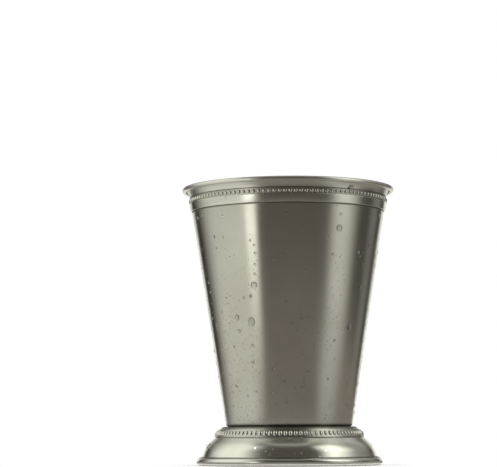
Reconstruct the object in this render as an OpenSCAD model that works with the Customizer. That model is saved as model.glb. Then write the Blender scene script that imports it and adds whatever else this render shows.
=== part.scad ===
// Beaded julep cup: a tapered sheet metal cup with a curled lip on a hollow spun foot.
// Sizes are in millimetres. The cup stands on z = 0, and its axis is Z.

/* [Cup] */
// Overall height, from the table to the top of the lip
cup_h = 115; // [100:1:130]
// Outside diameter of the wall where it stands on the foot
base_d = 52; // [48:0.5:56]
// Outside diameter that the straight wall would have at full height
mouth_d = 83.2; // [78:0.2:90]
// Thickness of the sheet that the wall and the foot are made of
sheet_t = 0.7; // [0.5:0.05:0.8]
// Inside radius of the fold at the foot of the wall
fold_r = 0.5; // [0.3:0.05:0.8]
// Width of the ledge that the wall's lower end turns in
wall_ledge_w = 5; // [3:0.5:7]
// Thickness of the floor disc
floor_t = 0.9; // [0.7:0.1:1.4]

/* [Lip] */
// How far the lip stands out past the line of the wall
lip_overhang = 2.55; // [2.2:0.05:3.2]
// Outside diameter of the curl
curl_d = 1.9; // [1.8:0.05:2.3]
// Lean of the flare from upright, where the curl begins
flare_lean = 55; // [48:1:62]
// Angle that the curl turns through
curl_turn = 255; // [210:5:260]

/* [Rim trim] */
// Length of plain neck and flare between the lip's top and the beading, measured upright
neck_h = 4.4; // [4.2:0.1:6]
// Height of the plain band under the beading
band_h = 3.4; // [2:0.1:5]
// Thickness of the plain band
band_t = 0.6; // [0.5:0.05:1]
// Rounding of the band's outer edges
band_edge_r = 0.2; // [0.1:0.05:0.24]
// Diameter of a rim bead
rim_bead_d = 2.02; // [1.8:0.02:2.4]

/* [Foot] */
// Height of the foot, from the table to the bottom of the cup
foot_h = 15.8; // [14:0.1:19]
// Outside diameter of the foot over its rim wire
foot_d = 76.8; // [74:0.2:84]
// Width of the ledge that the foot turns in under the cup
foot_ledge_w = 3.4; // [2:0.2:4.4]
// Width of the flat that shows around the bottom of the cup
step_w = 1.3; // [1:0.1:1.8]
// Width of the sloping shoulder
shoulder_w = 1.7; // [1.4:0.1:2.6]
// Drop of the sloping shoulder
shoulder_drop = 1.15; // [1:0.05:2.2]
// Width of the slope that carries the foot's beading
bead_slope_w = 1.8; // [1.2:0.1:2.2]
// Drop of the slope that carries the foot's beading
bead_slope_drop = 3.2; // [2.5:0.1:3.6]
// Radius of the bell below the beading
bell_r = 12; // [8:0.5:16]
// Width of a foot bead, around the foot
foot_bead_w = 1.95; // [1.8:0.01:2.1]
// Length of a foot bead, down the slope
foot_bead_l = 3.2; // [2.2:0.05:3.3]
// Diameter of the round rim wire
wire_d = 3.4; // [3:0.1:4]
// Depth of the flat that the cup stands on, cut from the round wire
wire_flat = 0.1; // [0.05:0.01:0.2]
// Height of the rabbet in the wire, where the foot's lower edge stands
rabbet_z = 1.2; // [1:0.05:1.6]
// How far the foot's lower edge lies in from the outside of the wire
wire_lap = 2; // [1.8:0.05:2.2]

/* [Beading and solder] */
// How far the beads stand out from the metal behind them
bead_proud = 0.75; // [0.6:0.01:0.85]
// Thickness of the strip that joins the beads
strip_t = 0.3; // [0.2:0.02:0.36]
// Strip that shows above and below the beads
strip_edge = 0.08; // [0.04:0.01:0.16]
// Space between neighbouring beads
bead_gap = 0.1; // [0.06:0.01:0.3]
// Gap that the solder fills between lapped pieces
solder_gap = 0.05; // [0.02:0.01:0.1]
// Height and width of a solder fillet
fillet_w = 0.8; // [0.5:0.05:1]

/* [Hidden] */

$fn = 120;
// Steps in each rounded corner, in the flare and in the curl
corner_steps = 8;
flare_steps = 12;
curl_steps = 24;
// Facets of a bead
bead_fn = 24;
right_angle = 90;
half_turn = 180;
full_turn = 360;

// Rounding of the outline of the foot, at the step, at the beading's top and at its bottom
step_r = 0.9;
slope_top_r = 0.35;
slope_bottom_r = 0.5;
foot_edge_r = 1.2;
// Place of the corner that the bell rounds, as shares of its width and drop
bell_corner_shares = [0.7, 0.43];

// Lean of the straight wall from upright
wall_lean = atan((mouth_d - base_d) / 2 / (cup_h - foot_h));
wall_up = [sin(wall_lean), cos(wall_lean)];
wall_out = [cos(wall_lean), -sin(wall_lean)];

// Points on the wall's outer line at height z, and out from it
function wall_at(z, out = 0) = [base_d / 2 + (z - foot_h) * tan(wall_lean), z] + out * wall_out;
// Radius of the wall's inner face at height z
function inner_r(z) = wall_at(z)[0] - sheet_t / cos(wall_lean);

// Points of an arc about c, from angle a to angle b
function arc(c, r, a, b, steps) =
    [for (i = [0:steps]) let (turn = a + (b - a) * i / steps) c + r * [cos(turn), sin(turn)]];

function unit(v) = v / norm(v);
function to_right(v) = [v[1], -v[0]];
function reversed(path) = [for (i = [len(path) - 1:-1:0]) path[i]];

// A path moved to its right by t, with mitred corners
function beside(path, t) =
    [for (i = [0:len(path) - 1])
        let (last = len(path) - 1,
             a = to_right(unit(path[max(i, 1)] - path[max(i, 1) - 1])),
             b = to_right(unit(path[min(i + 1, last)] - path[min(i + 1, last) - 1])))
        path[i] + t * (a + b) / (1 + a * b)];

// Section of a sheet that lies to the right of a path
function sheet_section(path, t) = concat(path, reversed(beside(path, t)));

// Corner q between p and s rounded with radius r, but never past half of either side
function rounded_corner(p, q, s, r) =
    let (a = unit(p - q),
         b = unit(s - q),
         half = acos(a * b) / 2,
         cut = min(r / tan(half), norm(p - q) / 2, norm(s - q) / 2),
         radius = cut * tan(half),
         centre = q + unit(a + b) * radius / sin(half),
         from = q + a * cut - centre,
         to = q + b * cut - centre)
    [for (i = [0:corner_steps])
        let (part = i / corner_steps,
             spread = half_turn - 2 * half)
        centre + (sin((1 - part) * spread) * from + sin(part * spread) * to) / sin(spread)];

// An open path with its inner corners rounded by the radii given for them
function rounded_path(points, radii) =
    [for (i = [0:len(points) - 1])
        each (radii[i] == 0 ? [points[i]]
                            : rounded_corner(points[i - 1], points[i], points[i + 1], radii[i]))];

// The wall: the sheet's inner face, from the turned-in ledge up to the end of the curl
ledge_top = foot_h + sheet_t;
fold_z = ledge_top + fold_r;
fold_centre = [inner_r(fold_z) - fold_r / cos(wall_lean), fold_z];
lip_r = mouth_d / 2 + lip_overhang;
curl_r = curl_d / 2;
curl_centre = [lip_r - curl_r, cup_h - curl_r];
flare_end = curl_centre + curl_r * [-cos(flare_lean), sin(flare_lean)];
flare_r = ((flare_end - wall_at(foot_h)) * wall_out + sheet_t) / (1 - cos(flare_lean - wall_lean));
flare_centre = flare_end + flare_r * [cos(flare_lean), -sin(flare_lean)];
curl_start = half_turn - flare_lean;
flare_step = (flare_lean - wall_lean) / (flare_steps + 1);
// The curl begins where the flare's last step would end, so the flare stops one step before it
wall_path = concat(
    [[fold_centre[0] - wall_ledge_w, ledge_top]],
    arc(fold_centre, fold_r, -right_angle, -wall_lean, corner_steps),
    arc(flare_centre, flare_r, half_turn - wall_lean, curl_start + flare_step, flare_steps),
    arc(curl_centre, curl_r, curl_start, curl_start - curl_turn, curl_steps));

// The floor disc lies on the ledge
floor_r = fold_centre[0];
floor_top = ledge_top + floor_t;

// The rim trim is laid out along the wall: u runs up the wall and v out from it
beading_top = cup_h - neck_h;
rim_strip_h = rim_bead_d + 2 * strip_edge;
band_top = wall_at(beading_top - rim_strip_h * cos(wall_lean));
function along_wall(from, u, v) = from + u * wall_up + v * wall_out;
band_out = solder_gap + band_t;
band_path = rounded_path(
    [along_wall(band_top, -band_h, solder_gap), along_wall(band_top, -band_h, band_out),
     along_wall(band_top, 0, band_out), along_wall(band_top, 0, solder_gap)],
    [0, band_edge_r, band_edge_r, 0]);

// The foot: the sheet's outer face, from the ledge under the cup down to the rabbet of the wire
wire_centre = [(foot_d - wire_d) / 2, wire_d / 2 - wire_flat];
skirt_r = foot_d / 2 - wire_lap;
wire_top = wire_centre[1] + wire_d / 2;
slope_top = [base_d / 2 + step_w + shoulder_w, foot_h - shoulder_drop];
slope_bottom = slope_top + [bead_slope_w, -bead_slope_drop];
bell_size = [skirt_r - slope_bottom[0], wire_top - slope_bottom[1]];
foot_ledge_r = base_d / 2 - foot_ledge_w;
foot_path = rounded_path(
    [[foot_ledge_r, foot_h],
     [base_d / 2 + step_w, foot_h],
     slope_top,
     slope_bottom,
     slope_bottom + [bell_size[0] * bell_corner_shares[0], bell_size[1] * bell_corner_shares[1]],
     [skirt_r, wire_top],
     [skirt_r, rabbet_z]],
    [0, step_r, slope_top_r, slope_bottom_r, bell_r, foot_edge_r, 0]);
slope_out = to_right(unit(slope_top - slope_bottom));
slope_middle = (slope_top + slope_bottom) / 2;

// A ring turned from a section that lies in the plane of radius and height
module turned(section) {
    rotate_extrude() polygon(section);
}

// Section of a band that lies between two distances out from a middle point on a cone
function band_section(middle, up, out, h, near, far) =
    [middle - up * h / 2 + out * near, middle - up * h / 2 + out * far,
     middle + up * h / 2 + out * far, middle + up * h / 2 + out * near];

// A ring with one flat side for each of count beads; the flats touch the section's own ring
module flat_sided_ring(section, count) {
    corners = len(section);
    reach = 1 / cos(half_turn / count);
    polyhedron(
        [for (i = [0:count - 1]) for (p = section) let (turn = i * full_turn / count)
            [p[0] * reach * cos(turn), p[0] * reach * sin(turn), p[1]]],
        [for (i = [0:count - 1]) for (j = [0:corners - 1])
            let (here = i * corners, next = (i + 1) % count * corners, k = (j + 1) % corners)
            [here + j, here + k, next + k, next + j]]);
}

// The part of a ball of diameter d that stands above a plane h below its top, with its axis on Z
module round_bead(d, h) {
    rotate_extrude($fn = bead_fn) intersection() {
        translate([0, h - d / 2]) circle(d = d, $fn = bead_fn);
        square([d, h]);
    }
}

// The part of a round-ended bar, w wide and l long on X, that stands above a plane h below its top
module long_bead(w, l, h) {
    intersection() {
        translate([0, 0, h - w / 2]) rotate([0, right_angle, 0])
            rotate_extrude($fn = bead_fn) intersection() {
                union() {
                    for (end = [-1, 1])
                        translate([0, end * (l - w) / 2]) circle(d = w, $fn = bead_fn);
                    translate([-w / 2, (w - l) / 2]) square([w, l - w]);
                }
                translate([0, -l / 2]) square([w, l]);
            }
        translate([-l, -w, 0]) cube([2 * l, 2 * w, w]);
    }
}

// Beaded wire: a row of half beads, w wide and l long, on a thin strip that lies on a cone. The
// cone's outline runs through middle, and out is the way that it faces
module beaded_wire(middle, out, w, l) {
    up = -to_right(out);
    bead_ring = 2 * PI * (middle[0] + (bead_proud - w / 2) * out[0]);
    count = round(bead_ring / (w + bead_gap));
    seat = middle + out * (solder_gap + strip_t / 2);
    bead_h = bead_proud - solder_gap - strip_t / 2;
    flat_sided_ring(
        band_section(middle, up, out, l + 2 * strip_edge, solder_gap, solder_gap + strip_t), count);
    for (i = [0:count - 1])
        rotate((i + 1 / 2) * full_turn / count)
            translate([seat[0], 0, seat[1]])
                rotate([0, right_angle - atan(out[1] / out[0]), 0])
                    if (l > w) long_bead(w, l, bead_h); else round_bead(w, bead_h);
}

// The hollow face of the solder in a corner, whose legs lie along a and b, from a's end to b's
function fillet_face(corner, a, b) =
    let (centre = corner + a + b)
    [for (i = [0:corner_steps])
        let (turn = right_angle * i / corner_steps)
        centre - b * cos(turn) - a * sin(turn)];

// Section of the solder in such a corner
function fillet_section(corner, a, b) = concat([corner], fillet_face(corner, a, b));

module cup_wall() {
    color("#B5B1A5") turned(sheet_section(wall_path, sheet_t));
}

module cup_floor() {
    color("#A8A498") translate([0, 0, ledge_top]) cylinder(r = floor_r, h = floor_t);
}

module rim_band() {
    color("#C2BEB2") turned(band_path);
}

module rim_beading() {
    color("#8A867A")
        beaded_wire(along_wall(band_top, rim_strip_h / 2, 0), wall_out, rim_bead_d, rim_bead_d);
}

module foot_skirt() {
    color("#B5B1A5") turned(sheet_section(foot_path, sheet_t));
}

module foot_beading() {
    color("#8A867A") beaded_wire(slope_middle, slope_out, foot_bead_w, foot_bead_l);
}

// A round wire with a flat to stand on and a rabbet that takes the lower edge of the foot
module foot_rim_wire() {
    color("#C2BEB2") rotate_extrude() difference() {
        translate(wire_centre) circle(d = wire_d);
        translate([wire_centre[0] - wire_d, -wire_d]) square([2 * wire_d, wire_d]);
        translate([wire_centre[0] - wire_d, rabbet_z])
            square([skirt_r + solder_gap - wire_centre[0] + wire_d, wire_d]);
    }
}

// Solder that fills the gap around the floor disc and rises up the wall
module floor_solder() {
    gap_z = floor_top - floor_t / 2;
    corner = [inner_r(floor_top), floor_top];
    color("#9A978F") turned(concat(
        [[floor_r, floor_top], [floor_r, gap_z], [inner_r(gap_z), gap_z]],
        fillet_face(corner, wall_up * fillet_w, [floor_r - fillet_w - corner[0], 0])));
}

// Solder under the cup, at the inner edge of the foot's ledge
module foot_solder() {
    color("#9A978F")
        turned(fillet_section([foot_ledge_r, foot_h], [-fillet_w, 0], [0, -sheet_t]));
}

// Solder inside the foot, between its lower edge and the wire
module wire_solder() {
    color("#9A978F")
        turned(fillet_section([skirt_r - sheet_t, rabbet_z], [-sheet_t, 0], [0, fillet_w]));
}

cup_wall();
cup_floor();
rim_band();
rim_beading();
foot_skirt();
foot_beading();
foot_rim_wire();
floor_solder();
foot_solder();
wire_solder();
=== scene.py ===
# %% [markdown]
# # Dressing a beaded julep cup
# The real cup is sheet metal that was spun and soldered: a tapered wall with a curled lip, a hollow
# foot, a band under the lip, two rows of beaded wire and a round wire that the foot stands on.
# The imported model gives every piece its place. This lesson makes finer meshes for the same
# pieces, gives them worn metal finishes, beads them with water and lights them as a studio would.

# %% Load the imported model
from collections import namedtuple
from math import acos, asin, atan, atan2, cos, degrees, pi, radians, sin, tan

import bmesh
import bpy
from mathutils import Matrix, Vector
from mathutils.bvhtree import BVHTree


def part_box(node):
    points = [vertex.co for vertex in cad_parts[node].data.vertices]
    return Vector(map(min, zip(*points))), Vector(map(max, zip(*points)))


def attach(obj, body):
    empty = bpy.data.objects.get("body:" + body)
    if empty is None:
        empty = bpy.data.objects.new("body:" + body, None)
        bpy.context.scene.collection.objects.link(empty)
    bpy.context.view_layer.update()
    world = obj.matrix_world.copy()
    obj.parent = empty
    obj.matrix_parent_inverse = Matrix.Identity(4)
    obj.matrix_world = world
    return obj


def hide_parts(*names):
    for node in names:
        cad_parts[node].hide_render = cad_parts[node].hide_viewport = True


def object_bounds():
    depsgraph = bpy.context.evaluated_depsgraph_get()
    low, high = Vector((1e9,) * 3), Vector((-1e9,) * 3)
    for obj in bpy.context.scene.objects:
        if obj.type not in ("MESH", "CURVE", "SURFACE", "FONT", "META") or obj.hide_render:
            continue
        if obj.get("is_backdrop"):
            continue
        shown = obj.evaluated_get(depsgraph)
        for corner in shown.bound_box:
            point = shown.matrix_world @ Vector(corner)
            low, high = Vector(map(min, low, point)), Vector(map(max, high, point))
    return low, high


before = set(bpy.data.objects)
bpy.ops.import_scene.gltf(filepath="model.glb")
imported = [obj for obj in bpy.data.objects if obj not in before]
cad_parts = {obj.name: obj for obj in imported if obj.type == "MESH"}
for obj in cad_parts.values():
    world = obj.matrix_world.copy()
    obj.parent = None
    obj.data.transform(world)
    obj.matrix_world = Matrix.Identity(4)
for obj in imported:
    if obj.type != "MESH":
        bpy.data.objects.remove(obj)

cad_low, cad_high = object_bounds()
scene = bpy.context.scene
mm = 0.001
print("pieces in the packed model:", ", ".join(sorted(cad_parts)))
print("height of the cup: %.1f mm, across the lip: %.1f mm" % (cad_high.z / mm, 2 * cad_high.x / mm))

# %% [markdown]
# ## The camera
# A long lens from just above the table keeps the cup's sides nearly parallel and shows the rim from
# a little below. The camera is built from its own three directions, because pitch, yaw and roll
# are then each one named angle, and no sensor shift is needed.

# %% Place the camera
picture_w, picture_h = 497, 467
camera_distance = 820 * mm
camera_height = 14.3 * mm
camera_pitch = radians(5.71)
camera_yaw = radians(1.156)
camera_roll = radians(-0.25)
focal_pixels = 1970
sensor_w = 36


def camera_axes():
    """Right, up and forward of the camera."""
    ahead = Vector((-sin(camera_yaw), cos(camera_yaw), 0))
    forward = ahead * cos(camera_pitch) + Vector((0, 0, sin(camera_pitch)))
    level = Vector((cos(camera_yaw), sin(camera_yaw), 0))
    right = level * cos(camera_roll) + level.cross(forward) * sin(camera_roll)
    return right, right.cross(forward), forward


camera_right, camera_up, camera_forward = camera_axes()
camera_place = Vector((0, -camera_distance, camera_height))
camera = bpy.data.objects.new("camera", bpy.data.cameras.new("camera"))
camera.data.sensor_width = sensor_w
camera.data.lens = focal_pixels * sensor_w / picture_w
camera.matrix_world = Matrix.Translation(camera_place) @ Matrix(
    (camera_right, camera_up, -camera_forward)).transposed().to_4x4()
scene.collection.objects.link(camera)
scene.camera = camera
scene.view_settings.view_transform = "Standard"
print("lens: %.0f mm at %.2f m" % (camera.data.lens, camera_distance))

# %% [markdown]
# ## A small kit for node trees
# Every tree below is written in Python. A few helpers keep that short: one makes a tree with named
# inputs and outputs, and one adds a node and wires or sets its inputs in the same line.

# %% Helpers for node trees
SOCKETS = {"float": "NodeSocketFloat", "int": "NodeSocketInt", "vector": "NodeSocketVector",
           "geometry": "NodeSocketGeometry", "material": "NodeSocketMaterial"}


def new_tree(name, kind, inputs, outputs):
    """A node tree with sockets given as {name: kind} or {name: (kind, default)}."""
    tree = bpy.data.node_groups.new(name, kind)
    for direction, sockets in (("INPUT", inputs), ("OUTPUT", outputs)):
        for label, spec in sockets.items():
            socket_kind, default = spec if isinstance(spec, tuple) else (spec, None)
            socket = tree.interface.new_socket(label, in_out=direction, socket_type=SOCKETS[socket_kind])
            if default is not None:
                socket.default_value = default
    return tree


def add(tree, kind, inputs=(), **settings):
    """A node with its settings made, and its inputs linked to sockets or set to values."""
    node = tree.nodes.new(kind)
    for key, value in settings.items():
        setattr(node, key, value)
    for key, value in dict(inputs).items():
        if isinstance(value, bpy.types.NodeSocket):
            tree.links.new(value, node.inputs[key])
        else:
            node.inputs[key].default_value = value
    return node


def maths(tree, operation, *values, clamp=False):
    """The output of a Math node."""
    return add(tree, "ShaderNodeMath", enumerate(values), operation=operation, use_clamp=clamp).outputs[0]


def vector_maths(tree, operation, *values):
    """The vector that a Vector Math node puts out."""
    return add(tree, "ShaderNodeVectorMath", enumerate(values), operation=operation).outputs[0]


def times(tree, vector, factor):
    """A vector times a number."""
    return add(tree, "ShaderNodeVectorMath", {0: vector, "Scale": factor}, operation="SCALE").outputs[0]


def spread(tree, value, low, high, to_low=0.0, to_high=1.0):
    """A value carried smoothly from one range to another, and held at the ends."""
    return add(tree, "ShaderNodeMapRange", enumerate((value, low, high, to_low, to_high)),
               interpolation_type="SMOOTHSTEP").outputs[0]


def blend(tree, factor, first, second):
    """A colour between two others."""
    return add(tree, "ShaderNodeMix", {0: factor, 6: first, 7: second}, data_type="RGBA").outputs[2]


def noise(tree, place, scale, seed=0.0, **inputs):
    """The value of a noise with a seed."""
    values = {"Vector": place, "Scale": scale, "W": seed} | {k.capitalize(): v for k, v in inputs.items()}
    return add(tree, "ShaderNodeTexNoise", values, noise_dimensions="4D").outputs[0]


def through_tree(name, mesh, tree, values):
    """The mesh put through a Geometry Nodes tree, as a new object with a plain mesh."""
    carrier = bpy.data.objects.new(name + "_carrier", mesh)
    scene.collection.objects.link(carrier)
    modifier = carrier.modifiers.new("tree", "NODES")
    modifier.node_group = tree
    identifiers = {s.name: s.identifier for s in tree.interface.items_tree if s.in_out == "INPUT"}
    for label, value in values.items():
        modifier[identifiers[label]] = value
    depsgraph = bpy.context.evaluated_depsgraph_get()
    made = bpy.data.meshes.new_from_object(
        carrier.evaluated_get(depsgraph), preserve_all_data_layers=True, depsgraph=depsgraph)
    carrier.modifiers.remove(modifier)
    bpy.data.objects.remove(carrier)
    piece = bpy.data.objects.new(name, made)
    scene.collection.objects.link(piece)
    return piece


print("socket kinds:", ", ".join(SOCKETS))

# %% [markdown]
# ## Effects that several finishes share
# Spun metal has fine lines around its axis, left by the tool and by polishing. They are a noise that
# is stretched around the cup and squeezed along it. Height and radius are added before the
# squeeze, so that flat rings and discs get circles too.

# %% Lines left by turning
def lines_group():
    tree = new_tree("turning_lines", "ShaderNodeTree",
                    {"Around": ("float", 25.0), "Along": ("float", 4000.0)}, {"Lines": "float"})
    given = add(tree, "NodeGroupInput").outputs
    place = add(tree, "ShaderNodeTexCoord").outputs["Object"]
    height = add(tree, "ShaderNodeSeparateXYZ", {0: place}).outputs[2]
    flat = vector_maths(tree, "MULTIPLY", place, (1, 1, 0))
    radius = add(tree, "ShaderNodeVectorMath", {0: flat}, operation="LENGTH").outputs["Value"]
    along = maths(tree, "MULTIPLY", maths(tree, "ADD", height, radius), given["Along"])
    stretched = vector_maths(tree, "ADD", times(tree, flat, given["Around"]),
                             add(tree, "ShaderNodeCombineXYZ", {2: along}).outputs[0])
    add(tree, "NodeGroupOutput", {"Lines": noise(tree, stretched, 1.0, detail=3.0, roughness=0.6)})
    return tree


turning_lines = lines_group()
print("turning_lines has the sockets:", [s.name for s in turning_lines.interface.items_tree])

# %% [markdown]
# Shade is painted into the corners where two pieces meet, so the metal there is dark, and it is made dull
# too. On a turned cup each such corner is one height, so the mask is a soft line at a height, broken up by
# noise. The inside has no corner at those heights, so only faces that point outwards take the mask.
# Handling leaves broad smudges.

# %% Painted shade in corners, and smudges
def corner_group():
    # Painted shade: a soft dark line at the height of each corner where two pieces meet.
    tree = new_tree("corner_shade", "ShaderNodeTree",
                    {"Height": "float", "Width": ("float", 0.001), "Patchy": ("float", 0.3)},
                    {"Mask": "float"})
    given = add(tree, "NodeGroupInput").outputs
    point = add(tree, "ShaderNodeTexCoord").outputs
    place = point["Object"]
    height = add(tree, "ShaderNodeSeparateXYZ", {0: place}).outputs[2]
    away = maths(tree, "ABSOLUTE", maths(tree, "SUBTRACT", height, given["Height"]))
    near = maths(tree, "SUBTRACT", 1.0, maths(tree, "DIVIDE", away, given["Width"]), clamp=True)
    loss = maths(tree, "MULTIPLY", noise(tree, place, 220.0, detail=3.0), given["Patchy"])
    outwards = add(tree, "ShaderNodeVectorMath", {0: place, 1: point["Normal"]}, operation="DOT_PRODUCT")
    outside = maths(tree, "GREATER_THAN", outwards.outputs["Value"], 0.0)
    mask = maths(tree, "MULTIPLY", outside, maths(tree, "SUBTRACT", near, loss, clamp=True))
    add(tree, "NodeGroupOutput", {"Mask": mask})
    return tree


def smudge_group():
    tree = new_tree("smudges", "ShaderNodeTree", {"Size": ("float", 40.0), "Seed": ("float", 0.0)},
                    {"Broad": "float", "Fine": "float"})
    given = add(tree, "NodeGroupInput").outputs
    place = add(tree, "ShaderNodeTexCoord").outputs["Object"]
    broad = noise(tree, place, given["Size"], given["Seed"], detail=4.0, distortion=0.6)
    fine_size = maths(tree, "MULTIPLY", given["Size"], 12.0)
    fine = noise(tree, place, fine_size, given["Seed"], detail=5.0, roughness=0.65)
    add(tree, "NodeGroupOutput", {"Broad": spread(tree, broad, 0.35, 0.7), "Fine": fine})
    return tree


corner_shade, smudges = corner_group(), smudge_group()
print("shared effects:", [g.name for g in (turning_lines, corner_shade, smudges)])

# %% [markdown]
# ## The metal finishes
# The wall is satin, the trim and the foot are polished a little brighter, and the beaded wire has shade
# painted between its beads, partly as tarnish. All are one metal, so one function builds them and each
# finish has its own sizes. The lines run around the cup, so the shine is spread along it: that is the
# anisotropy.

# %% Build a metal finish
# A dark colour for shade painted into corners, and into the gaps between beads partly as tarnish.
shade_and_tarnish_colour = (0.05, 0.042, 0.03, 1)
# A lighter tone for the flare and curl: partly polish, partly painted light.
lip_tone_and_light = (0.76, 0.735, 0.67)


def group_node(tree, group, **values):
    """The outputs of a shared effect that is placed in a material with its own values."""
    inputs = {label.capitalize(): value for label, value in values.items()}
    return add(tree, "ShaderNodeGroup", inputs, node_tree=group).outputs


def corners_at(*places):
    """A function that masks corners for painted shade, given as (height, width) in millimetres."""
    def mask(tree):
        strongest = 0.0
        for height, width in places:
            line = group_node(tree, corner_shade, height=height * mm, width=width * mm)["Mask"]
            strongest = maths(tree, "MAXIMUM", strongest, line)
        return strongest
    return mask


def crevices(tree):
    """A mask of the gaps between beads, from the height that each point stores: shade is painted there,
    partly as tarnish.
    """
    depth = add(tree, "ShaderNodeAttribute", attribute_name="crevice").outputs["Fac"]
    return spread(tree, depth, 0.0, 0.35, 0.85, 0.0)


def no_mask(tree):
    return 0.0


def polished_and_lit_lip(tree):
    """A mask of the flare and the curl, whose tone is lighter: partly polish, partly painted light that the
    flare catches.
    """
    lip_from, lip_to = 110.2 * mm, 111.4 * mm
    place = add(tree, "ShaderNodeTexCoord").outputs["Object"]
    height = add(tree, "ShaderNodeSeparateXYZ", {0: place}).outputs[2]
    return spread(tree, height, lip_from, lip_to)


def metal(name, fresh, tarnished, gloss, worn, painted_shade=no_mask, lip=no_mask, depth=0.5e-6, grain=0.6,
          along=4000.0):
    """A metal between fresh and tarnished, with turning lines, smudges, painted shade in corners and gaps,
    and a lip lightened partly by polish and partly by painted light.
    """
    material = bpy.data.materials.new(name)
    material.use_nodes = True
    tree = material.node_tree
    shader = tree.nodes["Principled BSDF"]
    lines = group_node(tree, turning_lines, along=along)["Lines"]
    smudge = group_node(tree, smudges, size=38.0, seed=float(len(name)))
    dark = painted_shade(tree)
    tone = blend(tree, smudge["Broad"], (*fresh, 1), (*tarnished, 1))
    # The flare and curl are blended to the lighter tone, partly polish and partly painted light.
    tone = blend(tree, lip(tree), tone, (*lip_tone_and_light, 1))
    # Painted shade: the masked corners and gaps are blended towards the dark colour.
    tree.links.new(blend(tree, dark, tone, shade_and_tarnish_colour), shader.inputs["Base Color"])
    rough = spread(tree, smudge["Broad"], 0.0, 1.0, gloss, worn)
    for amount, share in ((dark, 0.3), (lip(tree), 0.1)):
        rough = maths(tree, "ADD", rough, maths(tree, "MULTIPLY", amount, share))
    tree.links.new(maths(tree, "MINIMUM", rough, 0.9), shader.inputs["Roughness"])
    height = maths(tree, "MULTIPLY", lines, depth)
    height = maths(tree, "ADD", height, maths(tree, "MULTIPLY", smudge["Fine"], 2.5 * depth))
    tree.links.new(add(tree, "ShaderNodeBump", {"Height": height, "Distance": 1.0}).outputs[0],
                   shader.inputs["Normal"])
    around = add(tree, "ShaderNodeTangent", direction_type="RADIAL", axis="Z").outputs[0]
    tree.links.new(around, shader.inputs["Tangent"])
    shader.inputs["Metallic"].default_value = 1.0
    shader.inputs["Anisotropic"].default_value = grain
    shader.inputs["Anisotropic Rotation"].default_value = 0.25
    return material


finishes = {
    # Each corner below is a (height, width) in mm where shade is painted on that finish.
    "satin_metal": metal("satin_metal", (0.66, 0.635, 0.57), (0.6, 0.575, 0.51), 0.2, 0.26,
                         corners_at((16.2, 1.3), (104.9, 0.7), (110.9, 0.4)), polished_and_lit_lip),
    "polished_metal": metal("polished_metal", (0.8, 0.78, 0.715), (0.73, 0.705, 0.64), 0.18, 0.26,
                            corners_at((15.6, 1.3), (3.35, 0.5)), grain=0.4),
    # The beaded finish paints shade, partly as tarnish, into the gaps between beads.
    "beaded_metal": metal("beaded_metal", (0.74, 0.72, 0.66), (0.66, 0.64, 0.57), 0.16, 0.24, crevices,
                          grain=0.0),
    "solder": metal("solder", (0.5, 0.49, 0.46), (0.4, 0.39, 0.36), 0.42, 0.55, depth=6.0e-6, grain=0.0,
                    along=300.0)}
print("finishes:", ", ".join(finishes))

# %% [markdown]
# ## Turning a section into a ring
# Sheet metal is spun on a lathe, and a mesh can be made the same way: a closed section is swept
# round a small circle with Curve to Mesh. The Screw modifier would do it too, but a tree also
# takes named sizes, merges the pole of a disc and keeps its edges crisp in one place. A slight
# wobble moves the metal in and out, because no spun wall is perfectly round, and that is what makes
# the long reflections run a little crooked.

# %% The lathe tree
def radial_direction(tree):
    """The level direction from the axis to each point."""
    place = add(tree, "GeometryNodeInputPosition").outputs[0]
    return vector_maths(tree, "NORMALIZE", vector_maths(tree, "MULTIPLY", place, (1, 1, 0)))


def finished(tree, mesh, given):
    """Smooth faces with crisp edges, real geometry and a material: the last steps of a tree."""
    angle = add(tree, "GeometryNodeInputMeshEdgeAngle").outputs[0]
    crisp = add(tree, "FunctionNodeCompare", {0: angle, 1: given["Crisp Angle"]},
                operation="GREATER_THAN").outputs[0]
    mesh = add(tree, "GeometryNodeSetShadeSmooth", {0: mesh, "Shade Smooth": True},
               domain="FACE").outputs[0]
    mesh = add(tree, "GeometryNodeSetShadeSmooth", {0: mesh, "Selection": crisp, "Shade Smooth": False},
               domain="EDGE").outputs[0]
    mesh = add(tree, "GeometryNodeRealizeInstances", {0: mesh}).outputs[0]
    return add(tree, "GeometryNodeSetMaterial", {0: mesh, "Material": given["Material"]}).outputs[0]


def lathe_tree():
    tree = new_tree("lathe", "GeometryNodeTree",
                    {"Geometry": "geometry", "Segments": ("int", 288), "Path Radius": ("float", 0.001),
                     "Wobble": ("float", 0.0), "Wobble Scale": ("float", 30.0), "Seed": ("float", 0.0),
                     "Crisp Angle": ("float", 0.7), "Material": "material"}, {"Geometry": "geometry"})
    given = add(tree, "NodeGroupInput").outputs
    section = add(tree, "GeometryNodeMeshToCurve", {0: given["Geometry"]}).outputs[0]
    path = add(tree, "GeometryNodeCurvePrimitiveCircle",
               {"Resolution": given["Segments"], "Radius": given["Path Radius"]}).outputs[0]
    ring = add(tree, "GeometryNodeCurveToMesh", {"Curve": path, "Profile Curve": section}).outputs[0]
    ring = add(tree, "GeometryNodeMergeByDistance", {"Geometry": ring, "Distance": 1e-6}).outputs[0]
    place = add(tree, "GeometryNodeInputPosition").outputs[0]
    uneven = noise(tree, place, given["Wobble Scale"], given["Seed"], detail=1.0)
    waves = maths(tree, "SUBTRACT", uneven, 0.5)
    shift = times(tree, radial_direction(tree), maths(tree, "MULTIPLY", waves, given["Wobble"]))
    ring = add(tree, "GeometryNodeSetPosition", {"Geometry": ring, "Offset": shift}).outputs[0]
    add(tree, "NodeGroupOutput", {0: finished(tree, ring, given)})
    return tree


lathe = lathe_tree()
path_radius = 1.0


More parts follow.
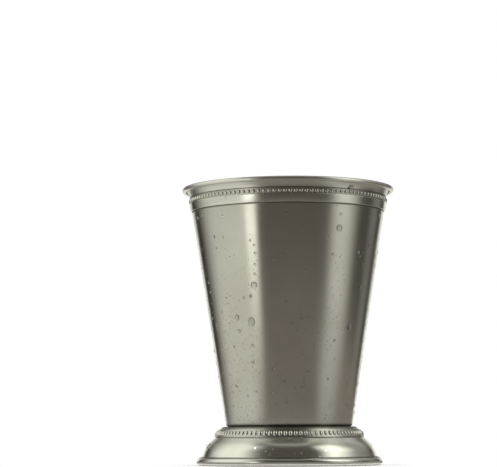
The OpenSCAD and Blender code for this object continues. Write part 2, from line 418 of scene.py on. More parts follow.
def turned(name, section, material, segments=288, wobble=0.0, scale=30.0, seed=0.0):
    """A ring with a section of (radius, height) points in millimetres, closed or from pole to pole."""
    area = sum(a.x * b.y - b.x * a.y for a, b in zip(section, section[1:] + section[:1]))
    outline = section if area < 0 else section[::-1]
    points = [((p.x - path_radius) * mm, -p.y * mm, 0) for p in outline]
    edges = [(i - 1, i) for i in range(1, len(points))]
    if section[0].x > 0:
        edges.append((len(points) - 1, 0))
    mesh = bpy.data.meshes.new(name + "_section")
    mesh.from_pydata(points, edges, [])
    piece = through_tree(name, mesh, lathe, {
        "Segments": segments, "Path Radius": path_radius * mm, "Wobble": wobble * mm, "Wobble Scale": scale,
        "Seed": seed, "Material": finishes[material]})
    print("%s: %d points in its section, %d faces" % (name, len(points), len(piece.data.polygons)))
    return piece


# %% [markdown]
# ## Drawing the sections
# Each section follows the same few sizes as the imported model. A path of straight lines and arcs is
# one face of the sheet, and a copy of it, moved sideways by the thickness, is the other.

# %% Arcs, rounded corners and sheets
def arc(centre, radius, start, end, steps):
    """Points on an arc, with its angles in degrees."""
    turns = [radians(start + (end - start) * i / steps) for i in range(steps + 1)]
    return [centre + radius * Vector((cos(t), sin(t))) for t in turns]


def to_right(v):
    return Vector((v.y, -v.x))


def beside(path, distance):
    """The path moved to its right, with mitred corners."""
    last = len(path) - 1
    moved = []
    for i, point in enumerate(path):
        before = to_right((path[max(i, 1)] - path[max(i, 1) - 1]).normalized())
        after = to_right((path[min(i + 1, last)] - path[min(i + 1, last) - 1]).normalized())
        moved.append(point + distance * (before + after) / (1 + before.dot(after)))
    return moved


def rounded(points, radii, steps=12):
    """An open path whose inner corners are rounded by the radii given for them."""
    path = []
    for i, (corner, radius) in enumerate(zip(points, radii)):
        if not radius:
            path.append(corner)
            continue
        back, on = points[i - 1] - corner, points[i + 1] - corner
        a, b = back.normalized(), on.normalized()
        half = acos(a.dot(b)) / 2
        cut = min(radius / tan(half), back.length / 2, on.length / 2)
        centre = corner + (a + b).normalized() * cut / cos(half)
        first, last = corner + a * cut - centre, corner + b * cut - centre
        turn = pi - 2 * half
        path += [centre + (sin((1 - k / steps) * turn) * first + sin(k / steps * turn) * last) / sin(turn)
                 for k in range(steps + 1)]
    return path


def divided(path, longest):
    """The same path, with no stretch longer than the given length."""
    fine = [path[0]]
    for start, end in zip(path, path[1:]):
        count = max(1, round((end - start).length / longest))
        fine += [start.lerp(end, (k + 1) / count) for k in range(count)]
    return fine


def sheet(path, thickness):
    return path + beside(path, thickness)[::-1]


# %% [markdown]
# ## The wall of the cup
# The wall is one sheet. It starts as a ledge turned in under the floor, folds up into the taper,
# flares out at the top and ends in a curl that makes the lip round. Its reflections carry the whole
# picture, so it gets short stretches and a wobble of a few hundredths of a millimetre.

# %% Sizes of the wall, and the wall itself
cup_h = cad_high.z / mm
lip_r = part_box("cup_wall")[1].x / mm
foot_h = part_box("cup_wall")[0].z / mm
base_r, mouth_r = 26.0, 41.6
sheet_t, fold_r, wall_ledge = 0.7, 0.5, 5.0
curl_r, flare_lean, curl_turn = 0.95, 55.0, 255.0
wall_lean = degrees(atan((mouth_r - base_r) / (cup_h - foot_h)))
wall_up = Vector((sin(radians(wall_lean)), cos(radians(wall_lean))))
wall_out = Vector((wall_up.y, -wall_up.x))


def wall_at(height, out=0.0):
    """A point of the wall's outer line, moved out from it."""
    return Vector((base_r + (height - foot_h) * tan(radians(wall_lean)), height)) + out * wall_out


def inner_r(height):
    return wall_at(height).x - sheet_t / cos(radians(wall_lean))


def wall_path():
    """The inner face of the sheet, from the ledge to the end of the curl."""
    fold_z = foot_h + sheet_t + fold_r
    fold_centre = Vector((inner_r(fold_z) - fold_r / cos(radians(wall_lean)), fold_z))
    curl_centre = Vector((lip_r - curl_r, cup_h - curl_r))
    flare_end = curl_centre + curl_r * Vector((-cos(radians(flare_lean)), sin(radians(flare_lean))))
    flare_out = (flare_end - wall_at(foot_h)).dot(wall_out) + sheet_t
    flare_r = flare_out / (1 - cos(radians(flare_lean - wall_lean)))
    flare_centre = flare_end + flare_r * Vector((cos(radians(flare_lean)), -sin(radians(flare_lean))))
    flare_steps, curl_steps, fold_steps = 20, 40, 8
    curl_start = 180 - flare_lean
    return [Vector((fold_centre.x - wall_ledge, foot_h + sheet_t))] + arc(
        fold_centre, fold_r, -90, -wall_lean, fold_steps) + arc(
        flare_centre, flare_r, 180 - wall_lean, curl_start, flare_steps)[:-1] + arc(
        curl_centre, curl_r, curl_start, curl_start - curl_turn, curl_steps)


cup_wall = turned("cup_wall_turned", sheet(divided(wall_path(), 2.5), sheet_t), "satin_metal",
                  wobble=0.12, scale=24.0, seed=3.0)
print("lean of the wall: %.2f degrees, radius of the lip: %.2f mm" % (wall_lean, lip_r))

# %% [markdown]
# ## The floor, the band and the solder
# The floor is a disc that lies on the ledge. Solder runs into the gap round it and leaves a hollow
# fillet. The plain band lies on the wall under the beading, with its edges eased.

# %% Floor, band and solder
floor_t, floor_ease, solder_gap, fillet_w = 0.9, 0.15, 0.05, 0.8
band_t, band_h, band_ease = 0.6, 3.4, 0.2
neck_h, rim_bead, strip_t, strip_edge, bead_proud = 4.4, 2.02, 0.3, 0.08, 0.75
floor_top = foot_h + sheet_t + floor_t
floor_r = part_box("cup_floor")[1].x / mm
rim_strip_h = rim_bead + 2 * strip_edge
band_top = wall_at(cup_h - neck_h - rim_strip_h * wall_up.y)


def along_wall(start, up, out):
    return start + up * wall_up + out * wall_out


def fillet(corner, a, b, steps=8):
    """The hollow face of solder in a corner, from a's end to b's."""
    turns = [pi / 2 * i / steps for i in range(steps + 1)]
    return [corner + a + b - b * cos(t) - a * sin(t) for t in turns]


cup_floor = turned("cup_floor_turned", divided(rounded(
    [Vector((0, floor_top - floor_t)), Vector((floor_r, floor_top - floor_t)), Vector((floor_r, floor_top)),
     Vector((0, floor_top))], [0, floor_ease, floor_ease, 0], 4), 2.5), "satin_metal", segments=144)
band_out = solder_gap + band_t
rim_band = turned("rim_band_turned", rounded(
    [along_wall(band_top, -band_h, solder_gap), along_wall(band_top, -band_h, band_out),
     along_wall(band_top, 0, band_out), along_wall(band_top, 0, solder_gap)],
    [0, band_ease, band_ease, 0], 6), "polished_metal", wobble=0.05, scale=60.0, seed=5.0)
gap_z = floor_top - floor_t / 2
floor_corner = Vector((inner_r(floor_top), floor_top))
floor_fillet = fillet(floor_corner, wall_up * fillet_w, Vector((floor_r - fillet_w - floor_corner.x, 0)))
floor_solder = turned("floor_solder_turned", [
    Vector((floor_r, floor_top)), Vector((floor_r, gap_z)), Vector((inner_r(gap_z), gap_z))] + floor_fillet,
    "solder", segments=192)

# %% [markdown]
# ## The foot
# The foot is a second spun sheet: a ledge under the cup, a sloping shoulder, the slope that carries
# the beading, and a bell that runs down to a round wire. The wire has a rabbet for the sheet's
# edge and a narrow flat to stand on.

# %% Foot, rim wire and their solder
skirt_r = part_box("foot_skirt")[1].x / mm
rabbet_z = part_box("foot_skirt")[0].z / mm
wire_r, wire_flat = 1.7, 0.1
wire_centre = Vector((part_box("foot_rim_wire")[1].x / mm - wire_r, wire_r - wire_flat))
wire_top = wire_centre.y + wire_r
foot_ledge, step_w, shoulder_w, shoulder_drop = 3.4, 1.3, 1.7, 1.15
slope_w, slope_drop, bell_r = 1.8, 3.2, 12.0
bell_corner_shares = Vector((0.7, 0.43))
slope_top = Vector((base_r + step_w + shoulder_w, foot_h - shoulder_drop))
slope_bottom = slope_top + Vector((slope_w, -slope_drop))
ledge_end = Vector((base_r - foot_ledge, foot_h))
foot_path = rounded(
    [ledge_end, Vector((base_r + step_w, foot_h)), slope_top, slope_bottom,
     slope_bottom + (Vector((skirt_r, wire_top)) - slope_bottom) * bell_corner_shares,
     Vector((skirt_r, wire_top)), Vector((skirt_r, rabbet_z))], [0, 0.9, 0.35, 0.5, bell_r, 1.2, 0], 14)
foot_skirt = turned("foot_skirt_turned", sheet(divided(foot_path, 0.8), sheet_t), "polished_metal",
                    wobble=0.08, scale=40.0, seed=9.0)


def wire_section():
    """A circle with a flat at the bottom and a rabbet cut from the top of its inner side."""
    rabbet_r = skirt_r + solder_gap
    flat_turn = degrees(asin((wire_r - wire_flat) / wire_r))
    rabbet_turn = degrees(acos((rabbet_r - wire_centre.x) / wire_r))
    inner_turn = 180 + degrees(asin((wire_centre.y - rabbet_z) / wire_r))
    return [Vector((rabbet_r, rabbet_z))] + arc(wire_centre, wire_r, rabbet_turn, -flat_turn, 36) + arc(
        wire_centre, wire_r, 180 + flat_turn, inner_turn, 14)


foot_wire = turned("foot_rim_wire_turned", wire_section(), "polished_metal")
foot_solder = turned("foot_solder_turned", [ledge_end] + fillet(
    ledge_end, Vector((-fillet_w, 0)), Vector((0, -sheet_t))), "solder", segments=192)
skirt_foot = Vector((skirt_r - sheet_t, rabbet_z))
wire_solder = turned("wire_solder_turned", [skirt_foot] + fillet(
    skirt_foot, Vector((-sheet_t, 0)), Vector((0, fillet_w))), "solder", segments=192)

# %% [markdown]
# ## Beaded wire
# The beading is a thin strip with a half bead for each step, soldered round the cup. One bead is modelled
# as a low dome, and a tree repeats it: a circle with one point for each bead, an instance on each point
# that faces out from the cone, and the strip behind them. Each bead is sized a little differently, as the
# rolled wire on a real cup is. An attribute stores how high each point stands above the strip, and the
# finish reads it to paint shade, partly as tarnish, into the gaps.

# %% One dome
def cap_profile(width, rise, rings):
    """Points (share of the half width, height) down a ball's cap."""
    ball_r = (width ** 2 / 4 + rise ** 2) / (2 * rise)
    turns = [acos((ball_r - rise) / ball_r) * i / rings for i in range(rings + 1)]
    return [(2 * ball_r * sin(t) / width, rise - ball_r * (1 - cos(t))) for t in turns]


def dome(name, profile, width, length, sides):
    """A closed dome in millimetres, flat at height zero, wound from its top down a profile."""
    bm = bmesh.new()
    top = bm.verts.new((0, 0, profile[0][1] * mm))
    turns = [2 * pi * k / sides for k in range(sides)]
    loops = [[bm.verts.new((share * width / 2 * cos(t) * mm, share * length / 2 * sin(t) * mm, height * mm))
              for t in turns] for share, height in profile[1:]]
    for k in range(sides):
        on = (k + 1) % sides
        bm.faces.new((top, loops[0][k], loops[0][on]))
        for upper, lower in zip(loops, loops[1:]):
            bm.faces.new((upper[k], lower[k], lower[on], upper[on]))
    bm.faces.new(loops[-1][::-1])
    mesh = bpy.data.meshes.new(name)
    bm.to_mesh(mesh)
    bm.free()
    return mesh


# %% The tree that repeats a bead
def facing_rotation(tree, facing, sideways):
    """A turn that takes Z to the way a thing faces and X as near as it can to sideways."""
    return add(tree, "FunctionNodeAxesToRotation", {"Primary Axis": facing, "Secondary Axis": sideways},
               primary_axis="Z", secondary_axis="X").outputs[0]


def raised(tree, mesh, height):
    lift = add(tree, "ShaderNodeCombineXYZ", {2: height}).outputs[0]
    return add(tree, "GeometryNodeTransform", {"Geometry": mesh, "Translation": lift}).outputs[0]


def marked(tree, mesh, value):
    """The mesh with a value stored on its points, which the beaded finish reads to paint shade into the
    gaps.
    """
    inputs = {"Geometry": mesh, "Name": "crevice", "Value": value}
    return add(tree, "GeometryNodeStoreNamedAttribute", inputs, data_type="FLOAT",
               domain="POINT").outputs[0]


def beading_tree():
    tree = new_tree("beaded_wire", "GeometryNodeTree",
                    {"Geometry": "geometry", "Count": ("int", 100), "Ring Radius": "float",
                     "Ring Height": "float", "Facing": "float", "Rise": "float",
                     "Strip Width": "float", "Strip Thickness": "float", "Strip Segments": ("int", 288),
                     "Unevenness": ("float", 0.05), "Seed": ("int", 1), "Crisp Angle": ("float", 0.7),
                     "Material": "material"}, {"Geometry": "geometry"})
    given = add(tree, "NodeGroupInput").outputs
    place = add(tree, "GeometryNodeInputPosition").outputs[0]
    height = add(tree, "ShaderNodeSeparateXYZ", {0: place}).outputs[2]
    bead = marked(tree, given["Geometry"], maths(tree, "DIVIDE", height, given["Rise"]))
    ring = add(tree, "GeometryNodeCurvePrimitiveCircle",
               {"Resolution": given["Count"], "Radius": given["Ring Radius"]}).outputs[0]
    half_step = add(tree, "ShaderNodeCombineXYZ", {2: maths(tree, "DIVIDE", pi, given["Count"])}).outputs[0]
    ring = add(tree, "GeometryNodeTransform", {"Geometry": ring, "Rotation": half_step}).outputs[0]
    radial = radial_direction(tree)
    rising = add(tree, "ShaderNodeCombineXYZ", {2: maths(tree, "SINE", given["Facing"])}).outputs[0]
    level = times(tree, radial, maths(tree, "COSINE", given["Facing"]))
    rotation = facing_rotation(tree, vector_maths(tree, "ADD", level, rising),
                               vector_maths(tree, "CROSS_PRODUCT", (0, 0, 1), radial))
    least = maths(tree, "SUBTRACT", 1.0, given["Unevenness"])
    size = add(tree, "FunctionNodeRandomValue", {"Seed": given["Seed"]}, data_type="FLOAT_VECTOR")
    smallest = add(tree, "ShaderNodeCombineXYZ", {0: least, 1: least, 2: least}).outputs[0]
    tree.links.new(smallest, size.inputs[0])
    size.inputs[1].default_value = (1, 1, 1)
    beads = add(tree, "GeometryNodeInstanceOnPoints", {
        "Points": ring, "Instance": bead, "Rotation": rotation, "Scale": size.outputs[0]}).outputs[0]
    path = add(tree, "GeometryNodeCurvePrimitiveCircle", {
        "Resolution": given["Strip Segments"], "Radius": given["Ring Radius"]}).outputs[0]
    section = add(tree, "GeometryNodeCurvePrimitiveQuadrilateral",
                  {"Width": given["Strip Thickness"], "Height": given["Strip Width"]}).outputs[0]
    lean = add(tree, "ShaderNodeCombineXYZ", {2: maths(tree, "MULTIPLY", given["Facing"], -1.0)}).outputs[0]
    section = add(tree, "GeometryNodeTransform", {"Geometry": section, "Rotation": lean}).outputs[0]
    strip = add(tree, "GeometryNodeCurveToMesh", {"Curve": path, "Profile Curve": section}).outputs[0]
    # The strip counts as 0.22 of a bead high, so less shade is painted on it than in the gaps.
    strip_height = 0.22
    row = add(tree, "GeometryNodeJoinGeometry", {0: beads})
    tree.links.new(marked(tree, strip, strip_height), row.inputs[0])
    row = raised(tree, row.outputs[0], given["Ring Height"])
    add(tree, "NodeGroupOutput", {0: finished(tree, row, given)})
    return tree


def outward_faces(piece):
    """Turns the faces of every shell of a piece outwards."""
    bm = bmesh.new()
    bm.from_mesh(piece.data)
    bmesh.ops.recalc_face_normals(bm, faces=bm.faces)
    bm.to_mesh(piece.data)
    bm.free()


beading = beading_tree()


def beaded_wire(name, middle, out, width, length, seed):
    """A row of beads on a strip that lies on the cone through middle, which faces out."""
    bead_gap = 0.1
    count = round(2 * pi * (middle.x + (bead_proud - width / 2) * out.x) / (width + bead_gap))
    seat = middle + out * (solder_gap + strip_t / 2)
    rise = bead_proud - solder_gap - strip_t / 2
    base_w = 2 * (rise * (width - rise)) ** 0.5
    bead = dome("bead", cap_profile(base_w, rise, 4), base_w, length * base_w / width, 14)
    piece = through_tree(name, bead, beading, {
        "Count": count, "Ring Radius": seat.x * mm, "Ring Height": seat.y * mm,
        "Facing": atan2(out.y, out.x), "Rise": rise * mm,
        "Strip Width": (length + 2 * strip_edge) * mm, "Strip Thickness": strip_t * mm,
        "Seed": seed, "Material": finishes["beaded_metal"]})
    outward_faces(piece)
    print("%s: %d beads, %d faces" % (name, count, len(piece.data.polygons)))
    return piece


slope_out = to_right((slope_top - slope_bottom).normalized())
foot_bead_w, foot_bead_l = 1.95, 3.2
rim_seat, foot_seat = along_wall(band_top, rim_strip_h / 2, 0), (slope_top + slope_bottom) / 2
rim_beading = beaded_wire("rim_beading_row", rim_seat, wall_out, rim_bead, rim_bead, seed=4)
foot_beading = beaded_wire("foot_beading_row", foot_seat, slope_out, foot_bead_w, foot_bead_l, seed=7)

# %% Put every piece on its body
pieces = {
    "cup_wall": (cup_wall, "satin_metal"), "cup_floor": (cup_floor, "satin_metal"),
    "rim_band": (rim_band, "polished_metal"), "rim_beading": (rim_beading, "beaded_metal"),
    "foot_skirt": (foot_skirt, "polished_metal"), "foot_beading": (foot_beading, "beaded_metal"),
    "foot_rim_wire": (foot_wire, "polished_metal"), "floor_solder": (floor_solder, "solder"),
    "foot_solder": (foot_solder, "solder"), "wire_solder": (wire_solder, "solder")}
for node, (piece, slot) in pieces.items():
    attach(piece, "root")
    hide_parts(node)
    box = [Vector(corner) for corner in piece.bound_box]
    off = max(abs(box[a][i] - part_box(node)[b][i]) for a, b in ((0, 0), (6, 1)) for i in range(3))
    print("%-14s is off its CAD box by at most %.3f mm" % (node, off / mm))

# %% [markdown]
# ## Water on cold metal
# A cold cup sweats. The large drops are placed one by one, by sending a ray from the camera through
# a chosen place in the picture until it meets the metal. The rest is scattered by a tree: few drops
# high up, more of them low down, in patches, and a little longer than wide because they sag.

# %% Water and large drops
def water():
    material = bpy.data.materials.new("water")
    material.use_nodes = True
    inputs = material.node_tree.nodes["Principled BSDF"].inputs
    for label, value in {"Roughness": 0.0, "IOR": 1.33, "Transmission Weight": 1.0}.items():
        inputs[label].default_value = value
    return material


water_clear = water()


def metal_tree():
    """A search tree of the metal that water can stand on."""
    points, faces = [], []
    for piece in (cup_wall, rim_band, foot_skirt, foot_wire, rim_beading, foot_beading):
        first = len(points)
        points += [v.co.copy() for v in piece.data.vertices]
        faces += [[first + i for i in face.vertices] for face in piece.data.polygons]
    return BVHTree.FromPolygons(points, faces)


def met_by_ray(place, search):
    """Where a ray from the camera through a place in the picture, in pixels, meets the metal."""
    across, down = place[0] - picture_w / 2, place[1] - picture_h / 2
    direction = camera_forward + (camera_right * across - camera_up * down) / focal_pixels
    hit, normal, _, _ = search.ray_cast(camera_place, direction.normalized())
    return hit, normal


Drop = namedtuple("Drop", "place width length")
large_drops = [
    Drop((351, 189), 3.4, 3.4), Drop((339.5, 228), 2.8, 2.9), Drop((254, 285), 2.8, 2.9),
    Drop((251.5, 322), 3.0, 4.0), Drop((237, 317.5), 2.4, 2.6), Drop((349, 327), 2.0, 3.2),
    Drop((359.7, 287.5), 2.0, 2.2), Drop((208.5, 446), 1.8, 2.8), Drop((290, 439), 1.2, 1.6),
    Drop((239, 331), 1.6, 1.8), Drop((253, 363), 1.8, 1.8), Drop((341, 214), 1.3, 1.3),
    Drop((214, 237), 1.4, 1.6), Drop((286, 301), 1.1, 1.0), Drop((302, 318), 1.1, 1.0)]
small_drops = [
    (223, 237), (250, 240.5), (254, 245), (255, 253), (255, 264.5), (254.5, 274), (250, 297), (226, 298),
    (236, 386), (247.5, 396), (256.5, 392), (285, 381), (308, 371), (328, 236), (333, 254), (366, 235),
    (369, 246), (360, 256), (362.5, 265), (208, 449), (255, 448), (326, 450), (225, 197), (196, 204)]
large_drops += [Drop(place, 1.1, 1.2) for place in small_drops]


def drop_profile(height, power=2.6, rings=8):
    """A flat middle that falls steeply at the rim, as water stands on metal."""
    shares = [sin(pi / 2 * i / rings) for i in range(rings + 1)]
    return [(share, height * (1 - share ** power) ** (1 / power)) for share in shares]


def place_drops(drops, height_share=0.16, sunk=0.04 * mm):
    """All the large drops as one piece, each standing on the metal."""
    search = metal_tree()
    bm = bmesh.new()
    for drop in drops:
        hit, normal = met_by_ray(drop.place, search)
        side = Vector((0, 0, 1)).cross(normal).normalized()
        turn = Matrix((side, normal.cross(side), normal)).transposed().to_4x4()
        shape = dome("drop", drop_profile(height_share * drop.width), drop.width, drop.length, 24)
        shape.transform(Matrix.Translation(hit - normal * sunk) @ turn)
        bm.from_mesh(shape)
    mesh = bpy.data.meshes.new("large_drops")
    bm.to_mesh(mesh)
    bm.free()
    mesh.materials.append(water_clear)
    mesh.shade_smooth()
    piece = bpy.data.objects.new("large_drops", mesh)
    scene.collection.objects.link(piece)
    return piece


water_pieces = [place_drops(large_drops)]
print("large drops:", len(large_drops))


# %% Scattered condensation
def condensation_tree():
    tree = new_tree("condensation", "GeometryNodeTree",
                    {"Geometry": "geometry", "Lowest": "float", "Highest": "float",
                     "Top Share": ("float", 0.2), "Spacing": ("float", 0.001),
                     "Density": ("float", 10000.0), "Patches": ("float", 60.0),
                     "Smallest": ("float", 0.0001), "Largest": ("float", 0.0005),
                     "Flatness": ("float", 0.45), "Sag": ("float", 1.15), "Sides": ("int", 8),
                     "Seed": ("int", 1), "Crisp Angle": ("float", 3.0),
                     "Material": "material"}, {"Geometry": "geometry"})
    given = add(tree, "NodeGroupInput").outputs
    place = add(tree, "GeometryNodeInputPosition").outputs[0]
    height = add(tree, "ShaderNodeSeparateXYZ", {0: place}).outputs[2]
    normal = add(tree, "GeometryNodeInputNormal").outputs[0]
    radial = radial_direction(tree)
    outward = add(tree, "ShaderNodeVectorMath", {0: normal, 1: radial},
                  operation="DOT_PRODUCT").outputs["Value"]
    least_outward = 0.3
    wet = add(tree, "FunctionNodeCompare", {0: outward, 1: least_outward},
              operation="GREATER_THAN").outputs[0]
    for limit, way in (("Lowest", "GREATER_THAN"), ("Highest", "LESS_THAN")):
        within = add(tree, "FunctionNodeCompare", {0: height, 1: given[limit]}, operation=way).outputs[0]
        wet = add(tree, "FunctionNodeBooleanMath", {0: wet, 1: within}, operation="AND").outputs[0]
    patchy = spread(tree, noise(tree, place, given["Patches"], detail=2.0), 0.42, 0.6, 0.15, 1.0)
    thinning = spread(tree, height, given["Lowest"], given["Highest"], 1.0, given["Top Share"])
    share = maths(tree, "MULTIPLY", patchy, thinning)
    spots = add(tree, "GeometryNodeDistributePointsOnFaces",
                {"Mesh": given["Geometry"], "Selection": wet, "Distance Min": given["Spacing"],
                 "Density Max": given["Density"], "Density Factor": share, "Seed": given["Seed"]},
                distribute_method="POISSON").outputs
    chance = add(tree, "FunctionNodeRandomValue", {"Seed": given["Seed"]}, data_type="FLOAT").outputs[1]
    size = maths(tree, "MULTIPLY_ADD", maths(tree, "POWER", chance, 2.5),
                 maths(tree, "SUBTRACT", given["Largest"], given["Smallest"]), given["Smallest"])
    scale = add(tree, "ShaderNodeCombineXYZ", {
        0: size, 1: maths(tree, "MULTIPLY", size, given["Sag"]),
        2: maths(tree, "MULTIPLY", size, given["Flatness"])}).outputs[0]
    sideways = vector_maths(tree, "CROSS_PRODUCT", (0, 0, 1), spots["Normal"])
    rotation = facing_rotation(tree, spots["Normal"], sideways)
    rings = maths(tree, "DIVIDE", given["Sides"], 2.0)
    ball = add(tree, "GeometryNodeMeshUVSphere", {
        "Segments": given["Sides"], "Rings": rings, "Radius": 1.0}).outputs[0]
    drops = add(tree, "GeometryNodeInstanceOnPoints", {
        "Points": spots["Points"], "Instance": ball, "Rotation": rotation, "Scale": scale}).outputs[0]
    add(tree, "NodeGroupOutput", {0: finished(tree, drops, given)})
    return tree


condensation = condensation_tree()
wall_low, wall_high, mist_high, foot_low = foot_h + 1.5, cup_h - 11, 92.0, 4.0
Scatter = namedtuple("Scatter", "name metal lowest highest top_share spacing density patches smallest "
                     "largest sides seed")
scatters = [
    Scatter("wall_drops", cup_wall, wall_low, wall_high, 0.35, 1.5, 150000.0, 45.0, 0.22, 0.7, 8, 11),
    Scatter("wall_mist", cup_wall, wall_low, mist_high, 0.15, 0.5, 1400000.0, 70.0, 0.09, 0.3, 6, 12),
    Scatter("foot_drops", foot_skirt, foot_low, slope_bottom.y, 0.6, 1.5, 80000.0, 60.0, 0.15, 0.45, 8, 13)]
for each in scatters:
    piece = through_tree(each.name, each.metal.data.copy(), condensation, {
        "Lowest": each.lowest * mm, "Highest": each.highest * mm, "Top Share": each.top_share,
        "Spacing": each.spacing * mm, "Density": each.density, "Patches": each.patches,
        "Smallest": each.smallest * mm, "Largest": each.largest * mm, "Sides": each.sides,
        "Seed": each.seed, "Material": water_clear})
    water_pieces.append(piece)
    print("%s: %d faces" % (each.name, len(piece.data.polygons)))
for piece in water_pieces:
    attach(piece, "root")

# %% [markdown]
# ## The studio
# Metal shows its surroundings, so the studio is half of the finish. Lamps light the floor, which is
# white for the camera but keeps the cup's shadow close around its foot. What the metal mirrors is
# a dome of cards that only mirrors can see, as black, grey and white cards stand round a cup in a
# real studio: they make the dark middle, the dark edges and the narrow bright line.

# %% Floor, backdrop and lamps
def mirror_or_camera(tree):
    """1 for rays that come straight from the camera, from a mirror or through water."""
    rays = add(tree, "ShaderNodeLightPath").outputs
    seen = maths(tree, "MAXIMUM", rays["Is Glossy Ray"], rays["Is Transmission Ray"])
    return maths(tree, "MAXIMUM", rays["Is Camera Ray"], seen)


def floor_material():
    """Pale and matt near the cup, and white for the camera away from it."""
    material = bpy.data.materials.new("studio_floor")
    material.use_nodes = True
    tree = material.node_tree
    shader = tree.nodes["Principled BSDF"]
    shader.inputs["Base Color"].default_value = (0.9, 0.9, 0.9, 1)
    shader.inputs["Roughness"].default_value = 1.0
    shader.inputs["Specular IOR Level"].default_value = 0.0
    place = add(tree, "ShaderNodeTexCoord").outputs["Object"]
    away = add(tree, "ShaderNodeVectorMath", {0: place}, operation="LENGTH").outputs["Value"]
    fade_start, fade_end = 40 * mm, 56 * mm
    white = add(tree, "ShaderNodeEmission", {"Color": (1, 1, 1, 1), "Strength": 1.0})
    share = maths(tree, "MULTIPLY", mirror_or_camera(tree), spread(tree, away, fade_start, fade_end))
    mix = add(tree, "ShaderNodeMixShader", {0: share, 1: shader.outputs[0], 2: white.outputs[0]})
    tree.links.new(mix.outputs[0], tree.nodes["Material Output"].inputs["Surface"])
    return material


def stage_piece(name, points, faces, material):
    mesh = bpy.data.meshes.new(name)
    mesh.from_pydata(points, [], faces)
    mesh.materials.append(material)
    thing = bpy.data.objects.new(name, mesh)
    scene.collection.objects.link(thing)
    thing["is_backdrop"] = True
    return thing


floor_half, floor_z = 3.0, -0.02 * mm
floor_corners = [(x * floor_half, y * floor_half, floor_z) for x, y in ((-1, -1), (1, -1), (1, 1), (-1, 1))]
stage_piece("studio_floor", floor_corners, [(0, 1, 2, 3)], floor_material())
fill_light = 0.6
world = bpy.data.worlds.new("studio")
scene.world = world
world.use_nodes = True
backdrop = world.node_tree.nodes["Background"]
backdrop.inputs["Color"].default_value = (1, 1, 1, 1)
backdrop_tree = world.node_tree
strength = spread(backdrop_tree, mirror_or_camera(backdrop_tree), 0.0, 1.0, fill_light, 1.0)
backdrop_tree.links.new(strength, backdrop.inputs["Strength"])


def towards(azimuth, elevation):
    """A direction from the cup, in degrees: azimuth 0 is the camera's side and grows to the right."""
    a, e = radians(azimuth), radians(elevation)
    return Vector((sin(a) * cos(e), -cos(a) * cos(e), sin(e)))


def lamp(name, azimuth, elevation, distance, size, power):
    """A square lamp that lights the floor and its shadow, but isn't mirrored."""
    data = bpy.data.lights.new(name, "AREA")
    data.size, data.energy = size, power
    thing = bpy.data.objects.new(name, data)
    thing.location = towards(azimuth, elevation) * distance
    thing.rotation_euler = (-towards(azimuth, elevation)).to_track_quat("-Z", "Y").to_euler()
    thing.visible_camera = thing.visible_glossy = False
    scene.collection.objects.link(thing)
    return thing


lamp_distance, lamp_size, lamp_power = 0.8, 0.6, 4.0
for name, azimuth, elevation in (("left_lamp", -95, 50), ("right_lamp", 80, 55)):
    lamp(name, azimuth, elevation, lamp_distance, lamp_size, lamp_power)
print("the floor's fill light is %.2f" % fill_light)

# %% [markdown]
# Each card is given by directions from the cup's middle. Its azimuths and its elevations are four
# angles each: where the card starts to show, where it shows fully, where it starts to fade and
# where it is gone. Later cards hang in front of earlier ones. A card below the horizon lies on the
# floor, and the others stand on a dome.

# %% Cards that only mirrors see
Card = namedtuple("Card", "name azimuths elevations grey tint")
warm, pale = Vector((1.0, 0.93, 0.82)), Vector((0.985, 1.0, 0.925))
everywhere, all_round, below = (-90, -89, 89, 90), (-182, -181, 181, 182), -90
cards = [
    Card("camera side", (-60, -42, 44, 60), everywhere, 0.085, warm),
    Card("ceiling", all_round, (64, 78, 91, 92), 0.5, pale),
    Card("floor near the cup", all_round, (below, -89, -13, -5), 0.225, warm),
    Card("floor by the cup", all_round, (below, -89, -44, -34), 0.32, pale),
    Card("rear right wall", (94, 118, 138, 162), (10, 40, 60, 74), 0.66, pale),
    Card("rear left wall", (-162, -138, -118, -94), (10, 40, 60, 74), 0.66, pale),
    Card("low white wall", (146, 157, 203, 213), (-16, -9, 2, 24), 1.0, pale),
    Card("left flag", (-154, -147, -140, -132), (-10, -6, 4, 14), 0.03, warm),
    Card("left panel's foot", (-140, -96, -58, -34), (-44, -34, -18, -9), 0.69, pale),
    Card("left panel", (-139, -98, -40.5, -35), (-18, -9, -8, 2), 0.88, pale),
    Card("left panel's top", (-139, -100, -42, -36), (-8, 2, 14, 26), 0.7, pale),
    Card("floor on the right", (66, 84, 142, 150), (below, -89, -13, -7), 0.29, warm),
    Card("right panel's foot", (36, 56, 64, 94), (-44, -34, -15, -7), 0.45, pale),
    Card("right panel", (46, 63, 70, 99), (-15, -7, 14, 26), 0.76, pale),
    Card("right edge", (112, 122, 130, 140), (-13, -7, 10, 20), 0.2, pale),
    Card("bright line", (-53, -50.5, -40, -37.5), (-9.5, -6.5, 12, 20), 1.75, pale),
    Card("right fill", (85, 95, 126, 148), (10, 20, 42, 56), 0.33, pale),
    Card("left softbox", (-142, -104, -76, -40), (4, 16, 54, 67), 1.05, pale),
    Card("right softbox", (40, 66, 82, 112), (18, 30, 54, 67), 1.5, pale)]
unlit = warm * 0.07


def smooth(part):
    part = min(max(part, 0.0), 1.0)
    return part * part * (3 - 2 * part)


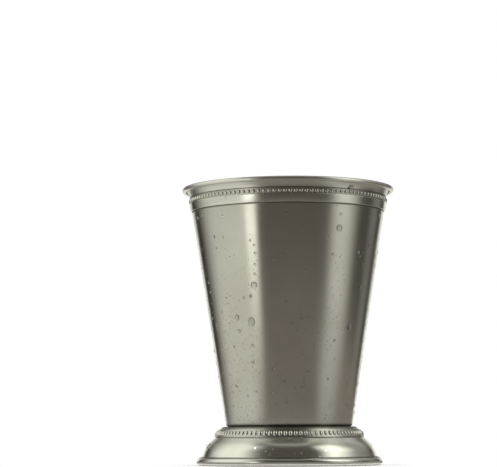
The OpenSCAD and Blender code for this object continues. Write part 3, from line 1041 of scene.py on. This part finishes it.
def shown(angle, edges):
    """How much of a card shows at an angle."""
    start, full, fading, end = edges
    return min(smooth((angle - start) / (full - start)), smooth((end - angle) / (end - fading)))


def glow_at(azimuth, elevation):
    """The light that the dome sends from a direction."""
    glow = unlit.copy()
    for each in cards:
        share = max(shown(azimuth, each.azimuths), shown(azimuth + 360, each.azimuths))
        glow = glow.lerp(each.tint * each.grey, share * shown(elevation, each.elevations))
    return glow


def glow_material():
    material = bpy.data.materials.new("cards")
    material.use_nodes = True
    tree = material.node_tree
    tree.nodes.remove(tree.nodes["Principled BSDF"])
    glow = add(tree, "ShaderNodeAttribute", attribute_name="glow").outputs["Color"]
    light = add(tree, "ShaderNodeEmission", {"Color": glow, "Strength": 1.0})
    tree.links.new(light.outputs[0], tree.nodes["Material Output"].inputs["Surface"])
    return material


def card_dome(radius=1.2, middle=Vector((0, 0, 0.06)), lift=0.3 * mm, columns=240, step=3):
    """A dome round the cup's middle whose lower part is pressed flat against the floor."""
    rows = list(range(-57, 90, step))
    points, glows = [], []
    for elevation in rows:
        for column in range(columns):
            azimuth = -180 + 360 * column / columns
            way = towards(azimuth, elevation)
            reach = min(radius, (middle.z - lift) / -way.z) if way.z < 0 else radius
            points.append(middle + way * reach)
            glows += [*glow_at(azimuth, elevation), 1]
    faces = [(i * columns + j, i * columns + (j + 1) % columns, (i + 1) * columns + (j + 1) % columns,
              (i + 1) * columns + j) for i in range(len(rows) - 1) for j in range(columns)]
    faces.append([(len(rows) - 1) * columns + j for j in range(columns)])
    thing = stage_piece("card_dome", points, faces, glow_material())
    thing.data.color_attributes.new("glow", "FLOAT_COLOR", "POINT").data.foreach_set("color", glows)
    thing.visible_camera = thing.visible_diffuse = thing.visible_shadow = False
    return thing


card_dome()
print("cards on the dome:", ", ".join(card.name for card in cards))

# %% How far the visual box is off the CAD box
low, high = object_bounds()
off = [round((a - b) / mm, 2) for a, b in zip([*low, *high], [*cad_low, *cad_high])]
print("the visual box is off the CAD box, in mm, by", off)
